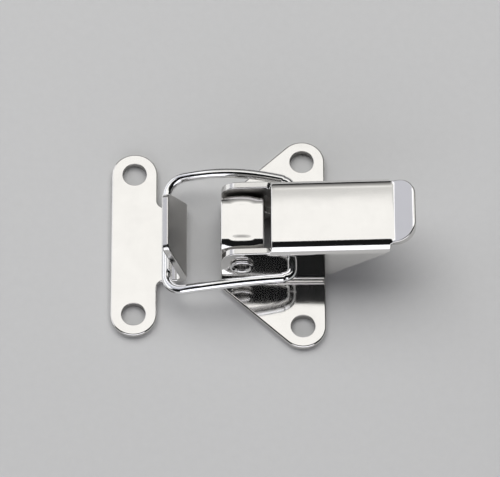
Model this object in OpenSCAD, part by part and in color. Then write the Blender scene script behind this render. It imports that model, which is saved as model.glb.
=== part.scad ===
// Toggle bolt latch: a stamped base bracket, a channel-shaped lever on two hollow rivets,
// a wire loop hinged in the lever, and a separate keeper plate with a hooked tongue.
// Stored closed, with the loop hooked on the keeper. Millimetres.
// Origin: midway between the base bracket's screw holes, on its mounting face.
// +X runs towards the lever's thumb tab, +Z away from the mounting face.

/* [Sheet and screws] */
// Thickness of the base bracket's sheet
base_t = 1.2; // [0.8:0.1:1.5]
// Thickness of the lever's sheet
lever_t = 1.2; // [0.8:0.1:1.4]
// Thickness of the keeper's sheet
keeper_t = 1.2; // [0.8:0.1:1.4]
// Diameter of the four screw holes
screw_d = 4.0; // [3:0.1:5]

/* [Base bracket] */
// Distance between the base bracket's two screw holes
base_pitch = 30; // [25:0.5:40]
// Radius of the rounded eye round each of its screw holes
base_eye_r = 3.75; // [3.4:0.05:4.5]
// From the hole line to the bracket's edge next to the keeper
base_front = 13.3; // [12.8:0.1:18]
// From the hole line to the bracket's edge under the lever's tail
base_back = 3.75; // [3.75:0.05:6]
// From the middle to the corner where each flange starts to slant
flange_corner_y = 7.9; // [7.4:0.1:10]
// Height of the raised middle's top above the mounting face
hat_h = 9.3; // [8.8:0.1:10]
// Length of the raised middle's closed top
hat_web_l = 7.05; // [5:0.05:7.5]
// Outer radius of the bends along the raised middle's top
hat_bend_r = 2.0; // [1.6:0.1:2.4]
// Radius of the bends where its walls run out into the flanges
foot_bend_r = 2.0; // [1:0.1:2.4]
// Height of its walls under the lever, above the mounting face
rail_h = 4.2; // [3.5:0.1:4.6]

/* [Pivot] */
// From the hole line to the lever's pivot
pivot_back = 9.85; // [9.6:0.05:10.2]
// Height of the lever's pivot above the mounting face
pivot_h = 6.4; // [6.1:0.1:6.8]
// Diameter of the hollow rivet's shank
rivet_d = 3.0; // [2.6:0.1:3.4]
// Diameter of the hole through the rivet
rivet_bore_d = 2.3; // [1.8:0.1:2.4]
// Diameter of the rivet's rolled rim
rivet_rim_d = 4.0; // [3.6:0.1:4.6]
// Height of the rim above the lever's wall
rivet_rim_h = 0.5; // [0.3:0.05:0.6]
// Diameter of the dished seat pressed into each wall round the rivet
seat_d = 6.0; // [5:0.1:6.2]

/* [Lever] */
// Outside width across the lever's two walls
lever_w = 13.2; // [12.6:0.1:14]
// Height of the lever's top face above its pivot
lever_top = 5.0; // [4.8:0.1:5.6]
// Height of its walls' bare top edges above the pivot
ear_top = 3.9; // [3.5:0.1:4.2]
// Radius of each wall's round end about the pivot
ear_r = 3.3; // [3:0.1:3.5]
// From the pivot to where the lever's closed top begins
web_start = 4.95; // [4.8:0.05:6]
// From the pivot to where the walls end under the tab
wall_end = 24.1; // [22:0.1:30]
// Outer radius of the bends along the lever's top
lever_bend_r = 2.0; // [1.6:0.1:2.4]
// From the pivot to where the walls' lower edge turns up
heel_l = 13.9; // [12:0.1:16]
// Depth of the walls below the pivot at that place
heel_drop = 4.25; // [3.6:0.05:4.5]
// How far the closed lever rises towards its tab
lever_tilt = 2.8; // [1:0.1:6]
// Half the width of the thumb tab
tab_half_w = 5.6; // [4:0.1:5.8]
// Slope of the thumb tab against the lever's top
tab_angle = 22; // [10:1:45]
// Straight part of the thumb tab's slope
tab_slope_l = 3.1; // [1:0.1:6]

/* [Wire loop] */
// Diameter of the wire
wire_d = 1.6; // [1.2:0.1:1.8]
// From the pivot to the loop's hinge
crank_l = 8.1; // [7.8:0.1:9]
// How far the loop's hinge lies below the pivot
crank_drop = 0.2; // [0:0.05:0.3]
// From the loop's hinge to the middle of its crossbar
loop_l = 20.35; // [20:0.05:22]
// Height of the crossbar's middle above the mounting face
crossbar_h = 3.8; // [3.4:0.1:4]
// How much further out each arm bows than at its hinge end
loop_bow = 1.5; // [0.8:0.05:2.2]
// Gap between the lever's wall and each arm at its hinge end
loop_side_gap = 1.35; // [1.2:0.05:2]
// Height of the arms' arch
loop_arch = 1.8; // [1:0.1:2]
// Radius of the loop's two corners
loop_corner_r = 3.0; // [2.4:0.1:4]
// Radius of the bend into each hinge end
loop_hook_r = 1.5; // [1.2:0.1:1.6]
// How far each hinge end reaches past the inside of the lever's wall
pin_reach = 0.9; // [0.5:0.1:1]

/* [Keeper] */
// Distance between the keeper's two screw holes
keeper_pitch = 25.5; // [24:0.5:34]
// Width of the keeper's strip
keeper_w = 7.5; // [7:0.1:9]
// Width of the keeper's tongue at its foot
tongue_w = 13.5; // [12:0.1:14]
// Width of the tongue at its tip
tongue_tip_w = 10; // [8:0.1:10.5]
// Height of the tongue's tip above the mounting face
tongue_h = 9.6; // [8.5:0.1:9.8]
// How far the tongue leans back over the loop
tongue_lean = 22; // [18:1:23]
// Length of the tab from the strip to the outside of the tongue's bend
tongue_reach = 4.9; // [4.8:0.1:5.5]
// Inner radius of the tongue's bend
tongue_bend_r = 0.8; // [0.5:0.1:1]

/* [Clearances] */
// Gap between a pin or shank and its hole, on the radius
running_gap = 0.05; // [0.02:0.01:0.1]
// Gap between the pressed seat and the inside of the lever's wall
side_gap = 0.1; // [0.05:0.01:0.15]
// Gap between the crossbar and the leaning face of the tongue
hook_gap = 0.55; // [0.5:0.01:0.8]

/* [Hidden] */
$fn = 48;
cut = 1;
pivot_x = -pivot_back;
lever_in = lever_w / 2 - lever_t;
seat_out = lever_in - side_gap;
seat_rise = 0.35;
hat_half_w = seat_out - seat_rise;
web_x1 = hat_web_l - base_front;
rail_fillet = 1.5;
rivet_tail_h = 0.35;
rivet_tail_d = rivet_d + 0.7;
crank_x = pivot_x + crank_l;
loop_end_half_w = lever_w / 2 + loop_side_gap + wire_d / 2;
loop_half_w = loop_end_half_w + loop_bow;
crank_z = pivot_h - crank_drop;
crossbar_x = crank_x - loop_l;
wire_facet_gap = 0.02;
wire_sides = 16;
wire_steps = 28;
corner_steps = 8;
// the tongue's inner face passes the crossbar at hook_gap, which sets where the keeper stands
bend_out_r = tongue_bend_r + keeper_t;
bend_z = bend_out_r;
face_x = crossbar_x + (wire_d / 2 + hook_gap) / cos(tongue_lean);
bend_x = face_x - tongue_bend_r / cos(tongue_lean) + (crossbar_h - bend_z) * tan(tongue_lean);
keeper_x1 = bend_x + bend_out_r - tongue_reach;
keeper_x = keeper_x1 - keeper_w / 2;
tongue_l = (tongue_h - bend_z - bend_out_r * sin(tongue_lean)) / cos(tongue_lean);
tongue_corner_r = 1.0;
tab_root_r = 1.4;
tab_x0 = wall_end + 0.3;
tab_crown_r = 2.0;
tab_tip_angle = 8;
tab_corner_r = 3.4;
steel = [0.86, 0.86, 0.84];

// points on an arc about c, from angle a0 to a1, both ends included
function arc(c, r, a0, a1, n) =
    [for (i = [0:n]) let (a = a0 + (a1 - a0) * i / n) c + r * [cos(a), sin(a)]];

// an open channel's outline: straight sides, rounded top corners, open underside
module arch_outline(half_w, top, low, r) {
    translate([-half_w, low])
        square([2 * half_w, top - r - low]);
    translate([r - half_w, low])
        square([2 * (half_w - r), top - low]);
    for (s = [-1, 1])
        translate([s * (half_w - r), top - r])
            circle(r);
}

// turns an outline drawn in (Y, Z) into a bar along +X
module bar_x(l) {
    rotate([90, 0, 90])
        linear_extrude(l)
            children();
}

// turns an outline drawn in (X, Z) into a slab centred on Y
module slab_y(w) {
    translate([0, w / 2, 0])
        rotate([90, 0, 0])
            linear_extrude(w)
                children();
}

module screw_hole(x, y, t) {
    translate([x, y, -cut])
        cylinder(d = screw_d, h = t + 2 * cut);
}

// one flange's outline, from the middle to its eye; the slanted edge is tangent to the eye
module flange_outline() {
    eye_y = base_pitch / 2;
    dx = base_front;
    dy = eye_y - flange_corner_y;
    slant = atan2(dy, dx) + asin(base_eye_r / norm([dx, dy]));
    polygon(concat(
        [[-base_front, 0], [base_back, 0], [base_back, eye_y]],
        base_back > base_eye_r ? [[base_eye_r, eye_y + (base_back - base_eye_r)]] : [],
        arc([0, eye_y], base_eye_r, 0, slant + 90, 24),
        [[-base_front, flange_corner_y]]));
}

// the round foot where a wall of the raised middle runs out into a flange
module foot_outline(s) {
    mirror([s > 0 ? 0 : 1, 0])
        difference() {
            translate([hat_half_w - base_t, 0])
                square([foot_bend_r + base_t, base_t + foot_bend_r]);
            translate([hat_half_w + foot_bend_r, base_t + foot_bend_r])
                circle(foot_bend_r);
        }
}

// cuts the raised middle open beyond its closed top, and lowers its walls there
module hat_opening() {
    x0 = web_x1;
    low = rail_h;
    slab_y(2 * hat_half_w + 2 * cut)
        polygon(concat(
            [[x0, hat_h + cut], [x0, low + rail_fillet]],
            arc([x0 + rail_fillet, low + rail_fillet], rail_fillet, 180, 270, 10),
            [[base_back + cut, low], [base_back + cut, hat_h + cut]]));
}

module base_bracket() {
    color(steel)
        difference() {
            union() {
                difference() {
                    union() {
                        for (m = [0, 1])
                            mirror([0, m, 0])
                                linear_extrude(base_t)
                                    flange_outline();
                        translate([-base_front, 0, 0])
                            bar_x(base_front + base_back) {
                                arch_outline(hat_half_w, hat_h, 0, hat_bend_r);
                                foot_outline(1);
                                foot_outline(-1);
                            }
                    }
                    hat_opening();
                }
                translate([pivot_x, 0, pivot_h])
                    rotate([90, 0, 0])
                        cylinder(d = seat_d, h = 2 * seat_out, center = true);
            }
            translate([-base_front - cut, 0, 0])
                bar_x(base_front + base_back + 2 * cut)
                    arch_outline(hat_half_w - base_t, hat_h - base_t, -cut, hat_bend_r - base_t);
            translate([pivot_x, 0, pivot_h])
                rotate([90, 0, 0])
                    cylinder(d = rivet_d, h = lever_w, center = true);
            translate([pivot_x, 0, pivot_h])
                rotate([90, 0, 0])
                    cylinder(d = rivet_tail_d + 2 * side_gap, h = 2 * (seat_out - base_t), center = true);
            for (s = [-1, 1])
                screw_hole(0, s * base_pitch / 2, base_t);
        }
}

// hollow rivet for one wall: rolled rim outside, shank, small clinched tail inside
module rivet(s) {
    rim_y = lever_w / 2 + side_gap;
    tail_y = seat_out - base_t;
    color(steel)
        translate([pivot_x, 0, pivot_h])
            mirror([0, s > 0 ? 0 : 1, 0])
                rotate([-90, 0, 0])
                    rotate_extrude()
                        polygon(concat(
                            [[rivet_bore_d / 2, tail_y - rivet_tail_h], [rivet_tail_d / 2, tail_y - rivet_tail_h],
                             [rivet_tail_d / 2, tail_y], [rivet_d / 2, tail_y], [rivet_d / 2, rim_y],
                             [rivet_rim_d / 2 - rivet_rim_h / 2, rim_y]],
                            arc([rivet_rim_d / 2 - rivet_rim_h / 2, rim_y + rivet_rim_h / 2],
                                rivet_rim_h / 2, -80, 90, 8),
                            arc([rivet_bore_d / 2 + rivet_rim_h, rim_y], rivet_rim_h, 90, 180, 8)));
}

module left_pivot_rivet() {
    rivet(1);
}

module right_pivot_rivet() {
    rivet(-1);
}

// side view of the lever's walls and top, about its pivot
module lever_side() {
    rise = atan2(lever_top - lever_bend_r / 2 + heel_drop, wall_end - heel_l);
    turn_r = 3;
    turn_l = turn_r * tan(rise / 2);
    ear_corner_r = 2.8;
    polygon(concat(
        arc([0, 0], ear_r, 270, 180, 16),
        arc([ear_corner_r - ear_r, ear_top - ear_corner_r], ear_corner_r, 180, 90, 12),
        [[web_start, ear_top], [web_start, lever_top], [wall_end, lever_top],
         [wall_end, lever_top - lever_bend_r / 2]],
        arc([heel_l - turn_l, turn_r - heel_drop], turn_r, 270 + rise, 270, 10)));
}

// centre line of the thumb tab in side view: a bend up, a straight slope, a roll over the crown
function tab_line() =
    let (mid = lever_top - lever_t / 2,
         x0 = tab_x0,
         r0 = tab_root_r + lever_t / 2,
         r1 = tab_crown_r - lever_t / 2,
         up = arc([x0, mid + r0], r0, 270, 270 + tab_angle, 8),
         foot = up[8],
         head = foot + tab_slope_l * [cos(tab_angle), sin(tab_angle)],
         c = head + r1 * [sin(tab_angle), -cos(tab_angle)])
    concat([[x0 - 2, mid]], up, arc(c, r1, 90 + tab_angle, 90 + tab_tip_angle, 10));

// unit direction of a line at its point i
function along(line, i) =
    let (a = line[max(i - 1, 0)], b = line[min(i + 1, len(line) - 1)])
    (b - a) / norm(b - a);

module tab_side() {
    line = tab_line();
    n = len(line) - 1;
    polygon(concat(
        [for (i = [0:n]) let (d = along(line, i)) line[i] + lever_t / 2 * [-d.y, d.x]],
        [for (i = [n:-1:0]) let (d = along(line, i)) line[i] + lever_t / 2 * [d.y, -d.x]]));
}

module tab_plan() {
    line = tab_line();
    x1 = max([for (p = line) p.x]) + 0.35;
    x0 = tab_x0 - 2.5;
    r = tab_corner_r;
    polygon(concat(
        [[x0, -tab_half_w]],
        arc([x1 - r, r - tab_half_w], r, 270, 360, 12),
        arc([x1 - r, tab_half_w - r], r, 0, 90, 12),
        [[x0, tab_half_w]]));
}

module lever() {
    deep = ear_r + heel_drop + cut;
    color(steel)
        translate([pivot_x, 0, pivot_h])
            rotate([0, -lever_tilt, 0])
                difference() {
                    union() {
                        intersection() {
                            translate([-ear_r - cut, 0, 0])
                                bar_x(ear_r + wall_end + 2 * cut)
                                    difference() {
                                        arch_outline(lever_w / 2, lever_top, -deep, lever_bend_r);
                                        arch_outline(lever_in, lever_top - lever_t, -deep - cut,
                                                     lever_bend_r - lever_t);
                                    }
                            slab_y(lever_w + cut)
                                lever_side();
                        }
                        intersection() {
                            slab_y(lever_w)
                                tab_side();
                            linear_extrude(3 * lever_top)
                                tab_plan();
                        }
                    }
                    translate([-ear_r - cut, -lever_in, -deep])
                        cube([ear_r + cut + web_start, 2 * lever_in, deep + 2 * lever_top]);
                    rotate([90, 0, 0])
                        cylinder(r = rivet_d / 2 + running_gap, h = lever_w + cut, center = true);
                    rotate([0, lever_tilt, 0])
                        translate([crank_l, 0, -crank_drop])
                            rotate([90, 0, 0])
                                cylinder(r = wire_d / 2 + running_gap, h = lever_w + cut, center = true);
                }
}

// height of the loop's middle line at a place along X: a straight fall plus the arms' arch
function loop_z(x) =
    let (u = (crank_x - x) / loop_l)
    crank_z + (crossbar_h - crank_z) * u + loop_arch * sin(180 * u);

// place of an arm's middle line at share q of the way from its hinge to the corner
function arm_point(q) =
    let (x = crank_x - loop_hook_r + (crossbar_x + loop_corner_r - crank_x + loop_hook_r) * q,
         u = (crank_x - x) / loop_l,
         w = loop_end_half_w + (loop_half_w - loop_end_half_w) * sin(90 * min(1, u / 0.75)))
    [x, w, loop_z(x)];

// a quarter turn in plan about [x, y], with the loop's own height
function turn_points(x, y, r, a0, from, to) =
    [for (i = [from:to]) let (a = a0 + 90 * i / corner_steps, px = x + r * cos(a))
        [px, y + r * sin(a), loop_z(px)]];

// middle line of the bend into a hinge end, its first point being on the straight pin
function hook_points() =
    let (y = loop_end_half_w - loop_hook_r, x = crank_x - loop_hook_r)
    concat([[crank_x, y - 0.3, crank_z]], turn_points(x, y, loop_hook_r, 0, 0, corner_steps - 1));

function corner_points() =
    turn_points(crossbar_x + loop_corner_r, loop_half_w - loop_corner_r, loop_corner_r, 90,
                1, corner_steps);

function half_loop() =
    concat(hook_points(), [for (i = [0:wire_steps]) arm_point(i / wire_steps)], corner_points());

function other_side(line) = [for (i = [len(line) - 1:-1:0]) [line[i].x, -line[i].y, line[i].z]];

// a round wire swept along a line of points; no stretch of it is upright
module sweep_wire(line, r, sides) {
    n = len(line);
    rings = [for (i = [0:n - 1])
        let (d = along(line, i), s = cross(d, [0, 0, 1]) / norm(cross(d, [0, 0, 1])), v = cross(s, d))
        for (k = [0:sides - 1])
            line[i] + r * (cos(360 * k / sides) * s + sin(360 * k / sides) * v)];
    side_faces = [for (i = [0:n - 2], k = [0:sides - 1])
        let (k1 = (k + 1) % sides)
        [i * sides + k, i * sides + k1, (i + 1) * sides + k1, (i + 1) * sides + k]];
    caps = [[for (k = [sides - 1:-1:0]) k], [for (k = [0:sides - 1]) (n - 1) * sides + k]];
    polyhedron(rings, concat(side_faces, caps), convexity = 6);
}

module wire_loop() {
    half = half_loop();
    pin_y0 = lever_in - pin_reach;
    pin_y1 = loop_end_half_w - loop_hook_r;
    color([0.9, 0.9, 0.9])
        union() {
            sweep_wire(concat(half, other_side(half)), wire_d / 2 - wire_facet_gap, wire_sides);
            for (s = [-1, 1])
                translate([crank_x, s * (pin_y0 + pin_y1) / 2, crank_z])
                    rotate([90, 0, 0])
                        cylinder(d = wire_d, h = pin_y1 - pin_y0, center = true);
        }
}

// the keeper's strip with its two round ends, and the tab that carries the tongue
module keeper_outline() {
    y1 = keeper_pitch / 2;
    r = 1.2;
    translate([keeper_x - keeper_w / 2, -y1])
        square([keeper_w, 2 * y1]);
    for (s = [-1, 1])
        translate([keeper_x, s * y1])
            circle(keeper_w / 2);
    translate([keeper_x, -tongue_w / 2])
        square([bend_x - keeper_x, tongue_w]);
    for (s = [-1, 1])
        difference() {
            translate([keeper_x1 + r / 2 - 0.1, s * (tongue_w / 2 + r / 2 - 0.1)])
                square([r + 0.2, r + 0.2], center = true);
            translate([keeper_x1 + r, s * (tongue_w / 2 + r)])
                circle(r);
        }
}

// side view of the tongue: a round bend up from the tab and a straight part leaning back
module tongue_side() {
    c = [bend_x, bend_z];
    d = [-sin(tongue_lean), cos(tongue_lean)];
    n = [cos(tongue_lean), sin(tongue_lean)];
    polygon(concat(
        [[bend_x - 0.1, 0]],
        arc(c, bend_out_r, 270, 360 + tongue_lean, 20),
        [c + bend_out_r * n + tongue_l * d, c + tongue_bend_r * n + tongue_l * d],
        arc(c, tongue_bend_r, 360 + tongue_lean, 270, 16),
        [[bend_x - 0.1, keeper_t]]));
}

// front view of the tongue, in its own leaning plane: it narrows towards its tip
module tongue_front() {
    top = tongue_l + bend_out_r + cut;
    tip = tongue_l;
    r = tongue_corner_r;
    a = atan2((tongue_w - tongue_tip_w) / 2, tongue_l);
    e = tongue_tip_w / 2;
    polygon(concat(
        [[-tongue_w / 2, -top], [tongue_w / 2, -top], [tongue_w / 2, 0]],
        arc([e - r, tip - r], r, a, 90, 8),
        arc([r - e, tip - r], r, 90, 180 - a, 8),
        [[-tongue_w / 2, 0]]));
}

module keeper() {
    reach = 3 * bend_out_r;
    color(steel)
        difference() {
            union() {
                linear_extrude(keeper_t)
                    keeper_outline();
                intersection() {
                    slab_y(tongue_w)
                        tongue_side();
                    translate([bend_x, 0, bend_z])
                        rotate([0, -tongue_lean, 0])
                            translate([-reach, 0, 0])
                                bar_x(2 * reach)
                                    tongue_front();
                }
            }
            for (s = [-1, 1])
                screw_hole(keeper_x, s * keeper_pitch / 2, keeper_t);
        }
}

base_bracket();
left_pivot_rivet();
right_pivot_rivet();
lever();
wire_loop();
keeper();
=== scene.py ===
import math

import bpy
import numpy as np
from mathutils import Euler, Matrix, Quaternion, Vector
from mathutils.geometry import delaunay_2d_cdt


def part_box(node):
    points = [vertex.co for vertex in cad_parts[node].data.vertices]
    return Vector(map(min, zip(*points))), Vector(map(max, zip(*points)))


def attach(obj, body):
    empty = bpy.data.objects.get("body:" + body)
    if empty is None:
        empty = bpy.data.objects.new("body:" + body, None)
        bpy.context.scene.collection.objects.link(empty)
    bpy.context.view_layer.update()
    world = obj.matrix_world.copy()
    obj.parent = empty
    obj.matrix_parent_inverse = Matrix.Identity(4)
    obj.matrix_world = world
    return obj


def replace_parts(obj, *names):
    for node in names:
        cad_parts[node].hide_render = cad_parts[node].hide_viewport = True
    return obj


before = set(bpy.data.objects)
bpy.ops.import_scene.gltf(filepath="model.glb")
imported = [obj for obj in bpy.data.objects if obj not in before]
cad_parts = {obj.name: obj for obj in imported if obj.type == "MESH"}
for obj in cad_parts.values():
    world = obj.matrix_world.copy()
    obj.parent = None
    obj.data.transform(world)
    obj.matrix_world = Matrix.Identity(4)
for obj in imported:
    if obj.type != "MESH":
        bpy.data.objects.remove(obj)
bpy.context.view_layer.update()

# --- Base bracket -------------------------------------------------------------------------
# One stamped blank of 1.2 mm stainless sheet, pierced, bent up into a raised middle with two
# flanges, then tumbled and polished, so that every cut edge is softly rounded. A round seat is
# pressed out of each wall where the lever turns.

# all sizes below are in millimetres, and a mesh's own unit is the metre
MM = 0.001
base_low, base_high = (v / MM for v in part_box("base_bracket"))
SHEET = 1.2
HAT_BEND = 2.0
HAT_HALF = 4.95
HAT_WEB_L = 7.05
FOOT_BEND = 2.0
FLANGE_CORNER_Y = 7.9
RAIL_H = 4.2
WEB_CORNER_R, RAIL_CORNER_R, FLANGE_CORNER_R = 1.5, 0.7, 0.5
SCREW_R = 1.95
RIVET_HOLE_R = 1.5
# radius of the rounded outer edges, and how dull the unpolished inner face is, from 0 to 1
BRACKET_RIM_R = 0.3
INNER_DULL = 0.9
EYE_R = base_high.x
EYE_Y = base_high.y - EYE_R
rivet_low, rivet_high = (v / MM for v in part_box("left_pivot_rivet"))
PIVOT_X = (rivet_low.x + rivet_high.x) / 2
PIVOT_Z = (rivet_low.z + rivet_high.z) / 2


def rounded(corners, step=0.12):
    """A closed outline through (x, s, radius) corners, each turned into an arc of its radius."""
    out = []
    n = len(corners)
    for i, (x, y, r) in enumerate(corners):
        p = np.array([x, y])
        a = np.array(corners[i - 1][:2]) - p
        b = np.array(corners[(i + 1) % n][:2]) - p
        a, b = a / np.linalg.norm(a), b / np.linalg.norm(b)
        half = math.acos(max(-1, min(1, float(a @ b)))) / 2
        if r <= 0 or half > math.pi / 2 - 0.01:
            out.append(p)
            continue
        centre = p + (a + b) / np.linalg.norm(a + b) * r / math.sin(half)
        start, end = p + a * r / math.tan(half), p + b * r / math.tan(half)
        turn = math.pi - 2 * half
        count = max(4, int(turn * r / step))
        t0, t1 = start - centre, end - centre
        for k in range(count + 1):
            f = k / count
            w0, w1 = math.sin((1 - f) * turn), math.sin(f * turn)
            out.append(centre + (t0 * w0 + t1 * w1) / math.sin(turn))
    return np.array(out)


def spaced(line, step=0.5):
    """The same closed outline with points added along its long straight stretches."""
    out = []
    for a, b in zip(line, np.roll(line, -1, axis=0)):
        count = max(1, int(np.linalg.norm(b - a) / step))
        out.extend(a + (b - a) * k / count for k in range(count))
    return np.array(out)


def round_hole(x, s, r, count=72):
    """A pierced hole in the blank, run round the other way from the outline."""
    turn = -2 * math.pi * np.arange(count) / count
    return np.stack([x + r * np.cos(turn), s + r * np.sin(turn)], 1)


def inside(points, loops):
    """Which points lie in the blank, between its outline and its holes."""
    hit = np.zeros(len(points), bool)
    for loop in loops:
        a, b = loop, np.roll(loop, -1, axis=0)
        for p, q in zip(a, b):
            crosses = (p[1] > points[:, 1]) != (q[1] > points[:, 1])
            if crosses.any():
                at = p[0] + (points[:, 1] - p[1]) * (q[0] - p[0]) / (q[1] - p[1] + 1e-30)
                hit ^= crosses & (points[:, 0] < at)
    return hit


def outward(loop):
    """Unit normals in the plane of the blank, pointing out of the sheet at its cut edge."""
    before = loop - np.roll(loop, 1, axis=0)
    after = np.roll(loop, -1, axis=0) - loop
    before /= np.linalg.norm(before, axis=1)[:, None]
    after /= np.linalg.norm(after, axis=1)[:, None]
    both = before + after
    both /= np.linalg.norm(both, axis=1)[:, None]
    return np.stack([both[:, 1], -both[:, 0]], 1)


def pressed_sheet(name, outline, holes, xs, ss, bend, thick, rim_r, inner_dull=0.0, hole_rim_r=0.1,
                  edge_steps=5, rim_dull=0.35):
    """A flat blank pierced and bent to shape. bend takes arrays x, s on the blank's middle face and
    gives their place in millimetres; xs and ss are the lines of points that the bends need."""
    # the outline has to run anticlockwise, as outward() expects
    x, y = outline.T
    if (x @ np.roll(y, -1) - y @ np.roll(x, -1)) < 0:
        outline = outline[::-1]
    loops = [outline] + holes
    # step for slopes, least gap from a grid point to a rim, and least size of a triangle
    tiny, rim_gap, sliver = 1e-3, 0.09, 1e-7

    def surface(flat):
        p = bend(flat[:, 0], flat[:, 1])
        px = bend(flat[:, 0] + tiny, flat[:, 1]) - bend(flat[:, 0] - tiny, flat[:, 1])
        ps = bend(flat[:, 0], flat[:, 1] + tiny) - bend(flat[:, 0], flat[:, 1] - tiny)
        px /= np.linalg.norm(px, axis=1)[:, None]
        ps /= np.linalg.norm(ps, axis=1)[:, None]
        n = np.cross(px, ps)
        return p, px, ps, n / np.linalg.norm(n, axis=1)[:, None]

    places, normals, dull_and_shade_share, faces = [], [], [], []
    total = 0

    def add(p, n, share):
        nonlocal total
        places.append(p)
        normals.append(n)
        dull_and_shade_share.append(np.full(len(p), share))
        total += len(p)
        return np.arange(total - len(p), total)

    half = thick / 2
    rims = []
    for loop in loops:
        edge_r = rim_r if loop is outline else hole_rim_r
        # the walls of the holes take the full duller colour: partly real, as their sheared faces are
        # rougher, and partly painted shade that darkens them
        edge_dull_and_shade = rim_dull if loop is outline else 1.0
        out2 = outward(loop)
        rings = []
        steps = [(k * math.pi / 2 / edge_steps, 1) for k in range(edge_steps + 1)]
        steps += [(math.pi / 2 - k * math.pi / 2 / edge_steps, -1) for k in range(edge_steps + 1)]
        for angle, side in steps:
            flat = loop - out2 * edge_r * (1 - math.sin(angle))
            p, px, ps, n = surface(flat)
            o = out2[:, :1] * px + out2[:, 1:] * ps
            o /= np.linalg.norm(o, axis=1)[:, None]
            height = side * (half - edge_r * (1 - math.cos(angle)))
            face_dull = 0.0 if side > 0 else inner_dull
            share = edge_dull_and_shade if angle > math.pi / 4 + 0.01 else face_dull
            rings.append(add(p + n * height, n * side * math.cos(angle) + o * math.sin(angle), share))
        for upper, lower in zip(rings[:-1], rings[1:]):
            for i in range(len(loop)):
                j = (i + 1) % len(loop)
                faces.append((upper[i], lower[i], lower[j], upper[j]))
        rims.append((loop - out2 * edge_r, rings[0], rings[-1]))

    grid = np.array([(x, s) for x in xs for s in ss])
    keep = inside(grid, [r[0] for r in rims])
    for rim, _, _ in rims:
        a, b = rim, np.roll(rim, -1, axis=0)
        for p, q in zip(a, b):
            t = np.clip(((grid - p) @ (q - p)) / max(1e-12, (q - p) @ (q - p)), 0, 1)
            keep &= np.linalg.norm(grid - (p + t[:, None] * (q - p)), axis=1) > rim_gap
    grid = grid[keep]
    flat = np.concatenate([r[0] for r in rims] + [grid])
    lines, start = [], 0
    for rim, _, _ in rims:
        lines += [(start + i, start + (i + 1) % len(rim)) for i in range(len(rim))]
        start += len(rim)
    made = delaunay_2d_cdt([Vector(v) for v in flat], lines, [], 0, 1e-7)
    source = [o[0] for o in made[3]]
    triangles = np.array([[source[i] for i in f] for f in made[2]])
    centres = flat[triangles].mean(1)
    # three rim points in one straight line make a sliver that isn't part of the sheet
    (ax, ay), (bx, by) = ((flat[triangles[:, k]] - flat[triangles[:, 0]]).T for k in (1, 2))
    solid = np.abs(ax * by - ay * bx) > sliver
    triangles = triangles[inside(centres, [r[0] for r in rims]) & solid]
    p, px, ps, n = surface(grid)
    for side in (1, -1):
        middle = add(p + side * half * n, side * n, 0.0 if side > 0 else inner_dull)
        index = np.concatenate([r[1] if side > 0 else r[2] for r in rims] + [middle])
        for a, b, c in index[triangles]:
            faces.append((a, b, c) if side > 0 else (a, c, b))
    mesh = bpy.data.meshes.new(name)
    mesh.from_pydata((np.concatenate(places) * MM).tolist(), [], [tuple(int(i) for i in f) for f in faces])
    mesh.shade_smooth()
    mesh.normals_split_custom_set_from_vertices(np.concatenate(normals).tolist())
    # the attribute carries the duller sheared edges and inner faces, and the painted shade where a piece
    # is darkened
    mesh.attributes.new("dull_and_painted_shade", "FLOAT", "POINT").data.foreach_set("value", np.concatenate(dull_and_shade_share))
    piece = bpy.data.objects.new(name, mesh)
    bpy.context.scene.collection.objects.link(piece)
    return piece


def smooth_step(low, high, value):
    """0 below low, 1 above high, and an S-shaped rise between."""
    t = np.clip((value - low) / (high - low), 0, 1)
    return t * t * (3 - 2 * t)


def rows(*stretches):
    """Values along stretches of (from, to, step), each pair joined end to end."""
    out = [stretches[0][0]]
    for low, high, step in stretches:
        count = max(1, round((high - low) / step))
        out += [low + (high - low) * (k + 1) / count for k in range(count)]
    return out


# distances along the blank from the middle of the raised top: its flat, the bend, the wall, the foot
half_sheet = SHEET / 2
hat_top = base_high.z
top_flat = HAT_HALF - HAT_BEND
top_bend = HAT_BEND - half_sheet
wall_from = top_flat + top_bend * math.pi / 2
wall_l = hat_top - HAT_BEND - SHEET - FOOT_BEND
foot_from = wall_from + wall_l
foot_bend = FOOT_BEND + half_sheet
flange_from = foot_from + foot_bend * math.pi / 2
flange_y = HAT_HALF + FOOT_BEND
SEAT_RISE, SEAT_FLAT_R, SEAT_R = 0.35, 1.7, 3.6
seat_s = wall_from + (hat_top - HAT_BEND - PIVOT_Z)


def bend_bracket(x, s):
    """Bends the flat blank up over the raised middle and out again into the two flanges."""
    side, d = np.sign(s), np.abs(s)
    a = np.clip((d - top_flat) / top_bend, 0, math.pi / 2)
    b = np.clip((d - foot_from) / foot_bend, 0, math.pi / 2)
    wall = np.clip(d - wall_from, 0, wall_l)
    y = np.minimum(d, top_flat) + top_bend * np.sin(a) + foot_bend * (1 - np.cos(b))
    y += np.maximum(d - flange_from, 0)
    z = hat_top - half_sheet - top_bend * (1 - np.cos(a)) - wall - foot_bend * np.sin(b)
    away = np.hypot(x - PIVOT_X, d - seat_s)
    press = SEAT_RISE * (1 - smooth_step(SEAT_FLAT_R, SEAT_R, away))
    y += press * np.sin(a)
    z += press * np.cos(a)
    return np.stack([x, side * y, z], 1)


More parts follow.
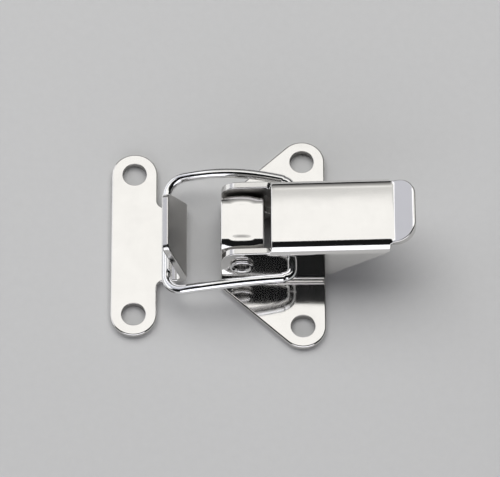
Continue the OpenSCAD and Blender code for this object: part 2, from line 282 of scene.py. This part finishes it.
def bracket_outline():
    """The blank's outline and the distance of its screw holes from its middle line."""
    front = base_low.x
    corner = flange_from + (FLANGE_CORNER_Y - flange_y)
    eye = flange_from + (EYE_Y - flange_y)
    dx, dy = -front, eye - corner
    slant = math.atan2(dy, dx) + math.asin(EYE_R / math.hypot(dx, dy))
    rail = wall_from + (hat_top - HAT_BEND - RAIL_H)
    web_end = front + HAT_WEB_L
    turn = np.linspace(0, slant + math.pi / 2, 44)
    one = [(web_end, 0.0, 0), (web_end, rail, WEB_CORNER_R)]
    one += [(EYE_R, rail, RAIL_CORNER_R), (EYE_R, eye - 0.01, 0)]
    one += [(EYE_R * math.cos(t), eye + EYE_R * math.sin(t), 0) for t in turn[1:]]
    one += [(front, corner, FLANGE_CORNER_R)]
    other = [(x, -s, r) for x, s, r in one[:0:-1]]
    return spaced(rounded(one + other)), eye


outline, eye_s = bracket_outline()
holes = [round_hole(0, eye_s, SCREW_R), round_hole(0, -eye_s, SCREW_R)]
holes += [round_hole(PIVOT_X, side * seat_s, RIVET_HOLE_R) for side in (1, -1)]
half_rows = rows((0, top_flat, 0.5), (top_flat, wall_from, 0.16), (wall_from, foot_from, 0.25),
                 (foot_from, flange_from, 0.22), (flange_from, eye_s + EYE_R, 0.8))
past_seat = PIVOT_X + SEAT_R + 0.4
bracket = pressed_sheet(
    "base_bracket_sheet", outline, holes,
    rows((base_low.x, past_seat, 0.27), (past_seat, EYE_R, 0.5)),
    [-s for s in half_rows[:0:-1]] + half_rows, bend_bracket, SHEET, BRACKET_RIM_R, INNER_DULL)


def socket(group, name, kind, default=None, out=False):
    """A named input or output of a node group."""
    made = group.interface.new_socket(name, in_out="OUTPUT" if out else "INPUT", socket_type=kind)
    if default is not None:
        made.default_value = default
    return made


def link(tree, a, b):
    tree.links.new(a, b)


def number(tree, operation, a, b=None):
    """A maths node; a and b are numbers or other nodes' outputs."""
    node = tree.nodes.new("ShaderNodeMath")
    node.operation = operation
    for i, v in enumerate((a, b)):
        if v is None:
            continue
        if isinstance(v, (int, float)):
            node.inputs[i].default_value = v
        else:
            link(tree, v, node.inputs[i])
    return node.outputs[0]


def noise(tree, vector, scale, detail=3.0, roughness=0.5):
    node = tree.nodes.new("ShaderNodeTexNoise")
    node.inputs["Scale"].default_value = scale
    node.inputs["Detail"].default_value = detail
    node.inputs["Roughness"].default_value = roughness
    link(tree, vector, node.inputs["Vector"])
    return node.outputs["Fac"]


def stretched(tree, vector, scale, turn=(0, 0, 0)):
    node = tree.nodes.new("ShaderNodeMapping")
    node.inputs["Scale"].default_value = scale
    node.inputs["Rotation"].default_value = turn
    link(tree, vector, node.inputs["Vector"])
    return node.outputs["Vector"]


def handling_marks():
    """Fine scratches two ways, cloudy polish and soft waves in the surface, for bright steel."""
    g = bpy.data.node_groups.new("bright steel marks", "ShaderNodeTree")
    socket(g, "Vector", "NodeSocketVector")
    socket(g, "Scratches", "NodeSocketFloat", 0.5)
    socket(g, "Clouding", "NodeSocketFloat", 0.5)
    socket(g, "Waves", "NodeSocketFloat", 0.5)
    socket(g, "Roughness", "NodeSocketFloat", out=True)
    socket(g, "Height", "NodeSocketFloat", out=True)
    socket(g, "Cloud", "NodeSocketFloat", out=True)
    enter, leave = g.nodes.new("NodeGroupInput"), g.nodes.new("NodeGroupOutput")
    at = enter.outputs["Vector"]
    # only the noise's highest parts become scratches, and only its denser parts a cloud
    scratch_from, cloud_from = 0.62, 0.35
    scratch_rough, scratch_depth = 0.9, 0.004
    lines = []
    for scale, turn in (((260, 9000, 9000), (0, 0, 0.4)), ((9000, 300, 9000), (0, 0, -0.25))):
        raw = noise(g, stretched(g, at, scale, turn), 1.0, 2.0)
        lines.append(number(g, "SMOOTH_MAX", number(g, "SUBTRACT", raw, scratch_from), 0.0))
    scratch = number(g, "MULTIPLY", number(g, "ADD", lines[0], lines[1]), enter.outputs["Scratches"])
    cloud = noise(g, at, 260, 4.0, 0.6)
    wave = noise(g, at, 110, 1.5, 0.4)
    soft = number(g, "MULTIPLY", number(g, "SUBTRACT", cloud, cloud_from), enter.outputs["Clouding"])
    scratched = number(g, "MULTIPLY", scratch, scratch_rough)
    link(g, number(g, "ADD", scratched, number(g, "MAXIMUM", soft, 0.0)), leave.inputs["Roughness"])
    raised = number(g, "MULTIPLY", wave, enter.outputs["Waves"])
    sunk = number(g, "MULTIPLY", scratch, scratch_depth)
    link(g, number(g, "SUBTRACT", raised, sunk), leave.inputs["Height"])
    link(g, cloud, leave.inputs["Cloud"])
    return g


marks = handling_marks()


def bright_steel(name, bright, dull_and_shaded, polish, cut_polish, scratches, clouding, waves):
    """Polished stainless steel; where a piece has sheared edges, those are duller, and the same attribute
    darkens the colour where a piece carries painted shade.
    """
    m = bpy.data.materials.new(name)
    m.use_nodes = True
    t = m.node_tree
    shader = t.nodes["Principled BSDF"]
    shader.inputs["Metallic"].default_value = 1.0
    place = t.nodes.new("ShaderNodeTexCoord")
    group = t.nodes.new("ShaderNodeGroup")
    group.node_tree = marks
    group.inputs["Scratches"].default_value = scratches
    group.inputs["Clouding"].default_value = clouding
    group.inputs["Waves"].default_value = waves
    link(t, place.outputs["Object"], group.inputs["Vector"])
    # this attribute darkens the colour for duller sheared faces and for painted shade
    cut = t.nodes.new("ShaderNodeAttribute")
    cut.attribute_name = "dull_and_painted_shade"
    dull_and_shade = cut.outputs["Fac"]
    tint = t.nodes.new("ShaderNodeMix")
    tint.data_type = "RGBA"
    tint.inputs["A"].default_value = (*bright, 1)
    tint.inputs["B"].default_value = (*dull_and_shaded, 1)
    most_cloud, most_dull_and_shade = 0.16, 0.8
    cloud_share = number(t, "MULTIPLY", group.outputs["Cloud"], most_cloud)
    dull_and_shade_mix = number(t, "MULTIPLY", dull_and_shade, most_dull_and_shade)
    link(t, number(t, "MAXIMUM", cloud_share, dull_and_shade_mix), tint.inputs["Factor"])
    link(t, tint.outputs["Result"], shader.inputs["Base Color"])
    rough = number(t, "ADD", number(t, "MULTIPLY", dull_and_shade, cut_polish - polish), polish)
    link(t, number(t, "ADD", rough, group.outputs["Roughness"]), shader.inputs["Roughness"])
    bump = t.nodes.new("ShaderNodeBump")
    bump.inputs["Strength"].default_value = 1.0
    bump.inputs["Distance"].default_value = 0.00002
    link(t, group.outputs["Height"], bump.inputs["Height"])
    link(t, bump.outputs["Normal"], shader.inputs["Normal"])
    return m


# its second colour serves the duller sheared faces and also the painted shade on the hole walls and the
# keeper's tongue
polished_sheet = bright_steel("polished stainless sheet", (0.85, 0.84, 0.82), (0.38, 0.37, 0.355),
                              0.06, 0.28, 0.30, 0.10, 1.0)
bracket.data.materials.append(polished_sheet)
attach(bracket, "base")
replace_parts(bracket, "base_bracket")

# --- Lever --------------------------------------------------------------------------------
# A channel of the same polished sheet, astride the raised middle. Its top is cut away over the
# pivot, its walls end in round ears, and its end is bent up and rolled over into a thumb tab.

lever_low, lever_high = (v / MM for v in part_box("lever"))
LEVER_HALF = lever_high.y
LEVER_TOP, LEVER_BEND, LEVER_TILT = 5.0, 2.0, math.radians(2.8)
EAR_R, EAR_TOP, WEB_START, WALL_END = 3.3, 3.9, 4.95, 24.1
HEEL_L, HEEL_DROP = 13.9, 4.25
EAR_FRONT_R, HEEL_R, CUT_CORNER_R, TAB_CORNER_R = 2.8, 3.0, 0.35, 3.1
WALL_SETBACK = 0.4
TAB_HALF, TAB_ANGLE, TAB_SLOPE = 5.6, math.radians(22), 2.9
TAB_ROOT, TAB_CROWN, TAB_TIP = 1.4, 2.0, math.radians(4)
CRANK_L, CRANK_DROP = 8.1, 0.2
LEVER_PIVOT_R, CRANK_HOLE_R = 1.55, 0.8
WEB_CROWN = 0.11
LEVER_RIM_R = 0.2
# the side bends flatten out into the tab over this stretch, and the ears stand up before the web
UNCURL_FROM, UNCURL_TO, WEB_BLEND, LEAST_CURL = WALL_END - 0.1, WALL_END + 0.9, 0.9, 1e-4

lever_flat = LEVER_HALF - LEVER_BEND
lever_bend = LEVER_BEND - half_sheet
lever_wall_s = lever_flat + lever_bend * math.pi / 2
pivot_s = lever_wall_s + LEVER_TOP - LEVER_BEND
tab_from = WALL_END + 0.3
root_r, crown_r = TAB_ROOT + half_sheet, TAB_CROWN - half_sheet
root_l, crown_l = root_r * TAB_ANGLE, crown_r * (TAB_ANGLE - TAB_TIP)
tab_l = root_l + TAB_SLOPE + crown_l


def tab_path(d):
    """Place and slope of the tab's middle line at a distance d along it from the root of its bend."""
    up = np.clip(d / root_r, 0, TAB_ANGLE)
    slope = np.clip(d - root_l, 0, TAB_SLOPE)
    over = np.clip((d - root_l - TAB_SLOPE) / crown_r, 0, TAB_ANGLE - TAB_TIP)
    x = np.minimum(d, 0) + root_r * np.sin(up) + slope * math.cos(TAB_ANGLE)
    z = root_r * (1 - np.cos(up)) + slope * math.sin(TAB_ANGLE)
    angle = TAB_ANGLE - over
    x = x + crown_r * (math.sin(TAB_ANGLE) - np.sin(angle))
    z = z + crown_r * (np.cos(angle) - math.cos(TAB_ANGLE))
    return x, z, up - over


def bend_lever(x, s):
    """Bends the blank's sides down, its end up into the tab, and tilts it about the pivot."""
    side, d = np.sign(s), np.abs(s)
    curl = 1 - smooth_step(UNCURL_FROM, UNCURL_TO, x)
    past = np.maximum(d - lever_flat, 0)
    k = np.maximum(curl, LEAST_CURL) / lever_bend
    a = np.minimum(past * k, math.pi / 2)
    straight = np.maximum(past - (math.pi / 2) / k, 0)
    y = np.minimum(d, lever_flat) + np.sin(a) / k
    z = -(1 - np.cos(a)) / k - straight
    upright = 1 - smooth_step(WEB_START - WEB_BLEND, WEB_START, x)
    y_up = LEVER_HALF - half_sheet
    z_up = -lever_bend + lever_wall_s - d
    y = y * (1 - upright) + y_up * upright
    z = z * (1 - upright) + z_up * upright
    z -= WEB_CROWN * (np.minimum(d, lever_flat) / lever_flat) ** 2 * (1 - upright)
    share = np.where(x > WALL_END, 1.0, 1 - smooth_step(lever_flat, lever_wall_s, d))
    px, pz, angle = tab_path(x - tab_from)
    bent_x = tab_from + px - z * np.sin(angle)
    bent_z = pz + z * np.cos(angle)
    local_x = x * (1 - share) + bent_x * share
    local_z = z * (1 - share) + bent_z * share + LEVER_TOP - half_sheet
    c, q = math.cos(LEVER_TILT), math.sin(LEVER_TILT)
    lever_x = PIVOT_X + c * local_x - q * local_z
    return np.stack([lever_x, side * y, PIVOT_Z + q * local_x + c * local_z], 1)


def lever_outline():
    """Half the blank from its cut-away top round the ear and the heel to the tab, then mirrored."""
    top = lever_wall_s + (LEVER_TOP - LEVER_BEND) - EAR_TOP
    low = pivot_s + EAR_R
    heel = pivot_s + HEEL_DROP
    tip = tab_from + tab_l
    one = [(WEB_START, 0.0, 0), (WEB_START, top, CUT_CORNER_R), (-EAR_R, top, EAR_FRONT_R),
           (-EAR_R, low, EAR_R - 0.05), (HEEL_L, heel, HEEL_R),
           (WALL_END, lever_wall_s - WALL_SETBACK, CUT_CORNER_R), (WALL_END, TAB_HALF, 0.3),
           (tip, TAB_HALF, TAB_CORNER_R)]
    other = [(x, -s, r) for x, s, r in one[:0:-1]]
    return spaced(rounded(one + other))


crank_x = CRANK_L * math.cos(LEVER_TILT) - CRANK_DROP * math.sin(LEVER_TILT)
crank_s = pivot_s + CRANK_L * math.sin(LEVER_TILT) + CRANK_DROP * math.cos(LEVER_TILT)
holes = [round_hole(0, side * pivot_s, LEVER_PIVOT_R) for side in (1, -1)]
holes += [round_hole(crank_x, side * crank_s, CRANK_HOLE_R, 48) for side in (1, -1)]
half_rows = rows((0, lever_flat, 0.42), (lever_flat, lever_wall_s, 0.15),
                 (lever_wall_s, pivot_s + HEEL_DROP, 0.6))
lever = pressed_sheet(
    "lever_sheet", lever_outline(), holes,
    rows((-EAR_R, WEB_START - 1, 0.6), (WEB_START - 1, WEB_START, 0.15),
         (WEB_START, WALL_END - 1.0, 0.7), (WALL_END - 1.0, tab_from + tab_l, 0.14)),
    [-s for s in half_rows[:0:-1]] + half_rows, bend_lever, SHEET, LEVER_RIM_R, INNER_DULL)
lever.data.materials.append(polished_sheet)
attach(lever, "lever")
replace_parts(lever, "lever")

# --- Keeper -------------------------------------------------------------------------------
# A narrow strip of the same sheet with two screw holes, and a tongue bent up from a tab on its
# side and leaned back, which holds the wire loop's crossbar.

keeper_low, keeper_high = (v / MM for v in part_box("keeper"))
STRIP_W, TONGUE_W, TONGUE_TIP_W = 7.5, 13.5, 10.0
TONGUE_BEND, TONGUE_LEAN = 0.8, math.radians(22)
STRIP_CORNER_R, TONGUE_ROOT_R, TONGUE_TIP_R, KEEPER_RIM_R = 1.2, 1.5, 1.2, 0.26
# heights over which painted shade darkens the tongue's outer face, then how strong that shade is and how
# it fades with height
PAINTED_SHADE_FROM, PAINTED_SHADE_TO, PAINTED_SHADE_SHARE, PAINTED_SHADE_FADE = 1.3, 3.0, 1.35, 0.05
strip_x = keeper_low.x + STRIP_W / 2
strip_y = keeper_high.y - STRIP_W / 2
keeper_bend = TONGUE_BEND + half_sheet
bend_out = TONGUE_BEND + SHEET
bend_x = keeper_high.x - bend_out
tongue_arc = math.pi / 2 + TONGUE_LEAN
tongue_from = bend_x + keeper_bend * tongue_arc
tongue_l = (keeper_high.z - bend_out - bend_out * math.sin(TONGUE_LEAN)) / math.cos(TONGUE_LEAN)


def bend_keeper(x, y):
    """Bends the tongue up from the strip and leans it back over it."""
    a = np.clip((x - bend_x) / keeper_bend, 0, tongue_arc)
    up = np.maximum(x - tongue_from, 0)
    px = np.minimum(x, bend_x) + keeper_bend * np.sin(a) - up * math.sin(TONGUE_LEAN)
    pz = half_sheet + keeper_bend * (1 - np.cos(a)) + up * math.cos(TONGUE_LEAN)
    return np.stack([px, y, pz], 1)


def keeper_outline():
    e, w = STRIP_W / 2, TONGUE_W / 2
    tip = tongue_from + tongue_l
    one = [(strip_x + e, w, STRIP_CORNER_R), (bend_x + 2.4, w, TONGUE_ROOT_R),
           (tip, TONGUE_TIP_W / 2, TONGUE_TIP_R)]
    ends = [(strip_x + e * math.cos(t), strip_y + e * math.sin(t), 0)
            for t in np.linspace(math.pi, 0, 60)]
    half_out = [(x, -y, r) for x, y, r in one] + one[::-1]
    return spaced(rounded([(x, -y, r) for x, y, r in ends] + half_out + ends[::-1]))


keeper_steps = rows((0, strip_y + STRIP_W / 2, 0.8))
holes = [round_hole(strip_x, side * strip_y, SCREW_R) for side in (1, -1)]
keeper = pressed_sheet(
    "keeper_sheet", keeper_outline(), holes,
    rows((keeper_low.x, bend_x, 0.8), (bend_x, tongue_from, 0.14),
         (tongue_from, tongue_from + tongue_l, 0.8)),
    [-s for s in keeper_steps[:0:-1]] + keeper_steps, bend_keeper, SHEET, KEEPER_RIM_R)
# painted shade: the tongue's outer face is darkened in colour and made rougher, to give the dark tone that
# the lighting alone leaves too bright
spots = np.empty(len(keeper.data.vertices) * 3)
keeper.data.vertices.foreach_get("co", spots)
spots = spots.reshape(-1, 3) / MM
facing = np.array([v.vector for v in keeper.data.vertex_normals])
keeper_dull_and_shade = np.empty(len(spots))
keeper.data.attributes["dull_and_painted_shade"].data.foreach_get("value", keeper_dull_and_shade)
painted_shade = smooth_step(keeper_low.z + PAINTED_SHADE_FROM, keeper_low.z + PAINTED_SHADE_TO, spots[:, 2])
painted_shade *= facing[:, 0] > 0.5
keeper_dull_and_shade = np.maximum(keeper_dull_and_shade, painted_shade * (PAINTED_SHADE_SHARE - PAINTED_SHADE_FADE * spots[:, 2]))
keeper.data.attributes["dull_and_painted_shade"].data.foreach_set("value", keeper_dull_and_shade)
keeper.data.materials.append(polished_sheet)
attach(keeper, "base")
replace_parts(keeper, "keeper")

# --- Pivot rivets -------------------------------------------------------------------------
# Two short hollow rivets of turned stainless steel. Each goes through a wall of the raised
# middle and an ear of the lever; its rim is rolled over outside and its tail clinched inside.

rivet_steel = bright_steel("bright rivet steel", (0.82, 0.81, 0.80), (0.60, 0.60, 0.60),
                           0.07, 0.20, 0.35, 0.14, 0.5)
BORE_R, SHANK_R, RIM_H, TAIL_H, TAIL_OVER = 1.15, 1.5, 0.5, 0.35, 0.35
RIM_R = (rivet_high.z - rivet_low.z) / 2


def rivet_profile():
    """Radius and distance along the axis, outside face last, all round the rivet's wall."""
    rim_y = rivet_high.y - RIM_H
    tail_y = rivet_low.y
    roll = RIM_H / 2
    tail_r = SHANK_R + TAIL_OVER
    corners = [(BORE_R, tail_y), (tail_r, tail_y), (tail_r, tail_y + TAIL_H),
               (SHANK_R, tail_y + TAIL_H), (SHANK_R, rim_y)]
    line = [np.array(c) for c in corners]
    centre = np.array([RIM_R - roll, rim_y + roll])
    line += [centre + roll * np.array([math.cos(t), math.sin(t)])
             for t in np.linspace(-1.5, math.pi / 2, 12)]
    flare = np.array([BORE_R + RIM_H, rim_y])
    line += [flare + RIM_H * np.array([math.cos(t), math.sin(t)])
             for t in np.linspace(math.pi / 2, math.pi, 10)]
    return line


def turned_rivet(name, side, sides=72):
    """The rivet's profile turned round its axis; side is 1 for the left wall, -1 for the right."""
    line = rivet_profile()
    n = len(line)
    verts, faces = [], []
    for k in range(sides):
        t = 2 * math.pi * k / sides
        for r, y in line:
            verts.append((PIVOT_X + r * math.cos(t), side * y, PIVOT_Z + r * math.sin(t)))
    for k in range(sides):
        a, b = k * n, (k + 1) % sides * n
        for i in range(n):
            j = (i + 1) % n
            face = (a + i, b + i, b + j, a + j)
            faces.append(face if side < 0 else face[::-1])
    mesh = bpy.data.meshes.new(name)
    mesh.from_pydata((np.array(verts) * MM).tolist(), [], faces)
    mesh.shade_smooth()
    sharp_from = math.radians(38)
    mesh.set_sharp_from_angle(angle=sharp_from)
    piece = bpy.data.objects.new(name, mesh)
    bpy.context.scene.collection.objects.link(piece)
    piece.data.materials.append(rivet_steel)
    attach(piece, "base")
    return piece


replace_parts(turned_rivet("left_rivet", 1), "left_pivot_rivet")
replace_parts(turned_rivet("right_rivet", -1), "right_pivot_rivet")

# --- Wire loop ----------------------------------------------------------------------------
# One length of bright drawn stainless wire, bent into a bowed loop with its two ends turned in
# through the lever's walls. It hooks over the keeper's tongue.

loop_low, loop_high = (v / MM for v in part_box("wire_loop"))
WIRE_D = 1.6
LOOP_HOOK_R, LOOP_CORNER_R, LOOP_ARCH, LOOP_END_HALF = 1.5, 3.0, 1.8, 8.75
PIN_REACH = 0.9
PIN_IN = LEVER_HALF - SHEET - PIN_REACH
# the loop reaches its full width at this share of its length
WIDEST_AT = 0.75
END_TAPER = 0.8
loop_hinge_x, loop_hinge_z = PIVOT_X + CRANK_L, PIVOT_Z - CRANK_DROP
crossbar_x = loop_low.x + WIRE_D / 2
loop_half = loop_high.y - WIRE_D / 2
crossbar_z = loop_low.z + WIRE_D / 2


def loop_height(x):
    """Height of the wire's middle line, arched between the hinge and the crossbar."""
    u = (loop_hinge_x - x) / (loop_hinge_x - crossbar_x)
    return loop_hinge_z + (crossbar_z - loop_hinge_z) * u + LOOP_ARCH * math.sin(math.pi * u)


def loop_half_line():
    """The wire's middle line from the tip of one hinge end to the middle of the crossbar."""
    y0 = LOOP_END_HALF - LOOP_HOOK_R
    line = [(loop_hinge_x, PIN_IN + (y0 - PIN_IN) * k / 8, loop_hinge_z) for k in range(8)]
    for k in range(16):
        t = math.pi / 2 * k / 16
        x = loop_hinge_x - LOOP_HOOK_R + LOOP_HOOK_R * math.cos(t)
        line.append((x, y0 + LOOP_HOOK_R * math.sin(t), loop_height(x)))
    x0, x1 = loop_hinge_x - LOOP_HOOK_R, crossbar_x + LOOP_CORNER_R
    for k in range(60):
        x = x0 + (x1 - x0) * k / 60
        u = (loop_hinge_x - x) / (loop_hinge_x - crossbar_x)
        bow = math.sin(math.pi / 2 * min(1, u / WIDEST_AT))
        w = LOOP_END_HALF + (loop_half - LOOP_END_HALF) * bow
        line.append((x, w, loop_height(x)))
    for k in range(20):
        t = math.pi / 2 * (1 + k / 20)
        x = x1 + LOOP_CORNER_R * math.cos(t)
        line.append((x, loop_half - LOOP_CORNER_R + LOOP_CORNER_R * math.sin(t), loop_height(x)))
    line += [(crossbar_x, (loop_half - LOOP_CORNER_R) * (1 - k / 12), crossbar_z) for k in range(12)]
    return line


half_line = loop_half_line()
other_half = [(x, -y, z) for x, y, z in half_line[::-1]]
wire_line = half_line + [(crossbar_x, 0, crossbar_z)] + other_half


def wire_sweep_tree():
    """Sweeps a round wire of the given radius along the edges of the mesh that carries it."""
    g = bpy.data.node_groups.new("wire along a line", "GeometryNodeTree")
    socket(g, "Line", "NodeSocketGeometry")
    socket(g, "Wire radius", "NodeSocketFloat", 0.001)
    socket(g, "Sides", "NodeSocketInt", 16)
    socket(g, "Finish", "NodeSocketMaterial")
    socket(g, "Wire", "NodeSocketGeometry", out=True)
    enter, leave = g.nodes.new("NodeGroupInput"), g.nodes.new("NodeGroupOutput")
    curve = g.nodes.new("GeometryNodeMeshToCurve")
    ring = g.nodes.new("GeometryNodeCurvePrimitiveCircle")
    taper = g.nodes.new("GeometryNodeInputNamedAttribute")
    taper.inputs["Name"].default_value = "end_taper"
    sweep = g.nodes.new("GeometryNodeCurveToMesh")
    sweep.inputs["Fill Caps"].default_value = True
    smooth = g.nodes.new("GeometryNodeSetShadeSmooth")
    real = g.nodes.new("GeometryNodeRealizeInstances")
    paint = g.nodes.new("GeometryNodeSetMaterial")
    link(g, enter.outputs["Line"], curve.inputs["Mesh"])
    link(g, enter.outputs["Wire radius"], ring.inputs["Radius"])
    link(g, enter.outputs["Sides"], ring.inputs["Resolution"])
    link(g, curve.outputs["Curve"], sweep.inputs["Curve"])
    link(g, ring.outputs["Curve"], sweep.inputs["Profile Curve"])
    link(g, taper.outputs["Attribute"], sweep.inputs["Scale"])
    link(g, sweep.outputs["Mesh"], smooth.inputs["Geometry"])
    link(g, smooth.outputs["Geometry"], real.inputs["Geometry"])
    link(g, real.outputs["Geometry"], paint.inputs["Geometry"])
    link(g, enter.outputs["Finish"], paint.inputs["Material"])
    link(g, paint.outputs["Geometry"], leave.inputs["Wire"])
    return g


bright_wire = bright_steel("bright drawn wire", (0.88, 0.88, 0.88), (0.70, 0.70, 0.70),
                           0.08, 0.08, 0.25, 0.08, 0.3)
line_mesh = bpy.data.meshes.new("wire_line")
line_mesh.from_pydata([(x * MM, y * MM, z * MM) for x, y, z in wire_line], [],
                      [(i, i + 1) for i in range(len(wire_line) - 1)])
taper_values = [1.0] * len(wire_line)
taper_values[0] = taper_values[-1] = END_TAPER
taper = line_mesh.attributes.new("end_taper", "FLOAT", "POINT")
taper.data.foreach_set("value", taper_values)
line_object = bpy.data.objects.new("wire_line", line_mesh)
bpy.context.scene.collection.objects.link(line_object)
maker = line_object.modifiers.new("wire", "NODES")
maker.node_group = wire_sweep_tree()
wire_inputs = {"Wire radius": WIRE_D / 2 * MM, "Sides": 28, "Finish": bright_wire}
for item in maker.node_group.interface.items_tree:
    if item.name in wire_inputs:
        maker[item.identifier] = wire_inputs[item.name]
bpy.context.view_layer.update()
evaluated = line_object.evaluated_get(bpy.context.evaluated_depsgraph_get())
wire_mesh = bpy.data.meshes.new_from_object(evaluated)
wire_mesh.name = "wire_loop_bent"
bpy.data.objects.remove(line_object)
wire = bpy.data.objects.new("wire_loop_bent", wire_mesh)
bpy.context.scene.collection.objects.link(wire)
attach(wire, "loop")
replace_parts(wire, "wire_loop")

# --- Floor, light and camera --------------------------------------------------------------
# A plain pale grey floor under soft studio light: a broad panel above and behind, a low bright
# wall in front and one at the left, and darkness round the camera for the steel to mirror.

# in metres; the floor lies just under the latch, so that their faces don't coincide
FLOOR_HALF, FLOOR_SINK = 3.0, 0.00002
floor_mesh = bpy.data.meshes.new("studio_floor")
floor_mesh.from_pydata([(-FLOOR_HALF, -FLOOR_HALF, 0), (FLOOR_HALF, -FLOOR_HALF, 0),
                        (FLOOR_HALF, FLOOR_HALF, 0), (-FLOOR_HALF, FLOOR_HALF, 0)], [], [(0, 1, 2, 3)])
floor = bpy.data.objects.new("studio_floor", floor_mesh)
floor.location.z = -FLOOR_SINK
bpy.context.scene.collection.objects.link(floor)
paper = bpy.data.materials.new("pale grey paper")
paper.use_nodes = True
paper_tree = paper.node_tree
paper_shader = paper_tree.nodes["Principled BSDF"]
paper_shader.inputs["Roughness"].default_value = 0.9
paper_shader.inputs["Specular IOR Level"].default_value = 0.1
paper_at = paper_tree.nodes.new("ShaderNodeTexCoord")
paper_mix = paper_tree.nodes.new("ShaderNodeMix")
paper_mix.data_type = "RGBA"
paper_mix.inputs["A"].default_value = (0.54, 0.54, 0.537, 1)
paper_mix.inputs["B"].default_value = (0.585, 0.585, 0.582, 1)
link(paper_tree, noise(paper_tree, paper_at.outputs["Object"], 700, 6.0, 0.7), paper_mix.inputs["Factor"])
link(paper_tree, paper_mix.outputs["Result"], paper_shader.inputs["Base Color"])
floor.data.materials.append(paper)


def light_panel(name, azimuth, height, distance, width, tall, power, tint=(1, 1, 1)):
    """A soft rectangular light aimed at the latch; azimuth 0 is +Y, height is its elevation."""
    a, e = math.radians(azimuth), math.radians(height)
    at = Vector((math.sin(a) * math.cos(e), math.cos(a) * math.cos(e), math.sin(e))) * distance
    data = bpy.data.lights.new(name, "AREA")
    data.shape = "RECTANGLE"
    data.size, data.size_y = width, tall
    data.energy = power
    data.color = tint
    lamp = bpy.data.objects.new(name, data)
    lamp.location = at
    lamp.rotation_euler = at.to_track_quat("Z", "Y").to_euler()
    bpy.context.scene.collection.objects.link(lamp)
    return lamp


# the steel doesn't mirror the light that brings the floor to its tone
floor_light = light_panel("broad light for the floor", 5, 64, 0.9, 1.3, 1.0, 7.0)
floor_light.visible_glossy = False
# one wide panel behind, in four bands that get dimmer towards the floor: elevations and power
PANEL_FAR = 0.8
bands = (("panel above", 59, 83, 1.2), ("its lower part", 49, 59, 0.32),
         ("paler paper behind", 34, 49, 0.27), ("dim paper behind", 20, 34, 0.14))
for name, low, high, power in bands:
    tall = 2 * PANEL_FAR * math.tan(math.radians((high - low) / 2))
    light_panel(name, -5, (low + high) / 2, PANEL_FAR, 1.0, tall, power, (1.0, 0.99, 0.97))
light_panel("low wall in front", 180, 21, 1.0, 1.6, 0.78, 6.5, (0.94, 0.94, 1.0))
light_panel("wall at the left", -70, 14, 1.0, 1.3, 0.5, 2.4, (0.98, 0.99, 1.0))
light_panel("upper wall at the left", -62, 40, 1.0, 0.9, 0.42, 0.85, (0.90, 0.91, 1.0))

world = bpy.data.worlds.new("dim studio")
world.use_nodes = True
world.node_tree.nodes["Background"].inputs["Color"].default_value = (0.9, 0.95, 1.0, 1)
world.node_tree.nodes["Background"].inputs["Strength"].default_value = 0.01
bpy.context.scene.world = world
bpy.context.scene.view_settings.view_transform = "Standard"

SENSOR, LENS = 36, 330.6
ELEVATION, ROLL, CAMERA_FAR = math.radians(63), math.radians(-0.187), 0.75
camera_data = bpy.data.cameras.new("camera")
camera_data.sensor_width = SENSOR
camera_data.lens = LENS
camera = bpy.data.objects.new("camera", camera_data)
look_at = Vector((-0.008537, 0.001512, 0))
towards_camera = Vector((0, -math.cos(ELEVATION), math.sin(ELEVATION)))
camera.location = look_at + towards_camera * CAMERA_FAR
camera.rotation_mode = "QUATERNION"
pitch = Euler((math.pi / 2 - ELEVATION, 0, 0)).to_quaternion()
camera.rotation_quaternion = pitch @ Quaternion((0, 0, 1), ROLL)
bpy.context.scene.collection.objects.link(camera)
bpy.context.scene.camera = camera
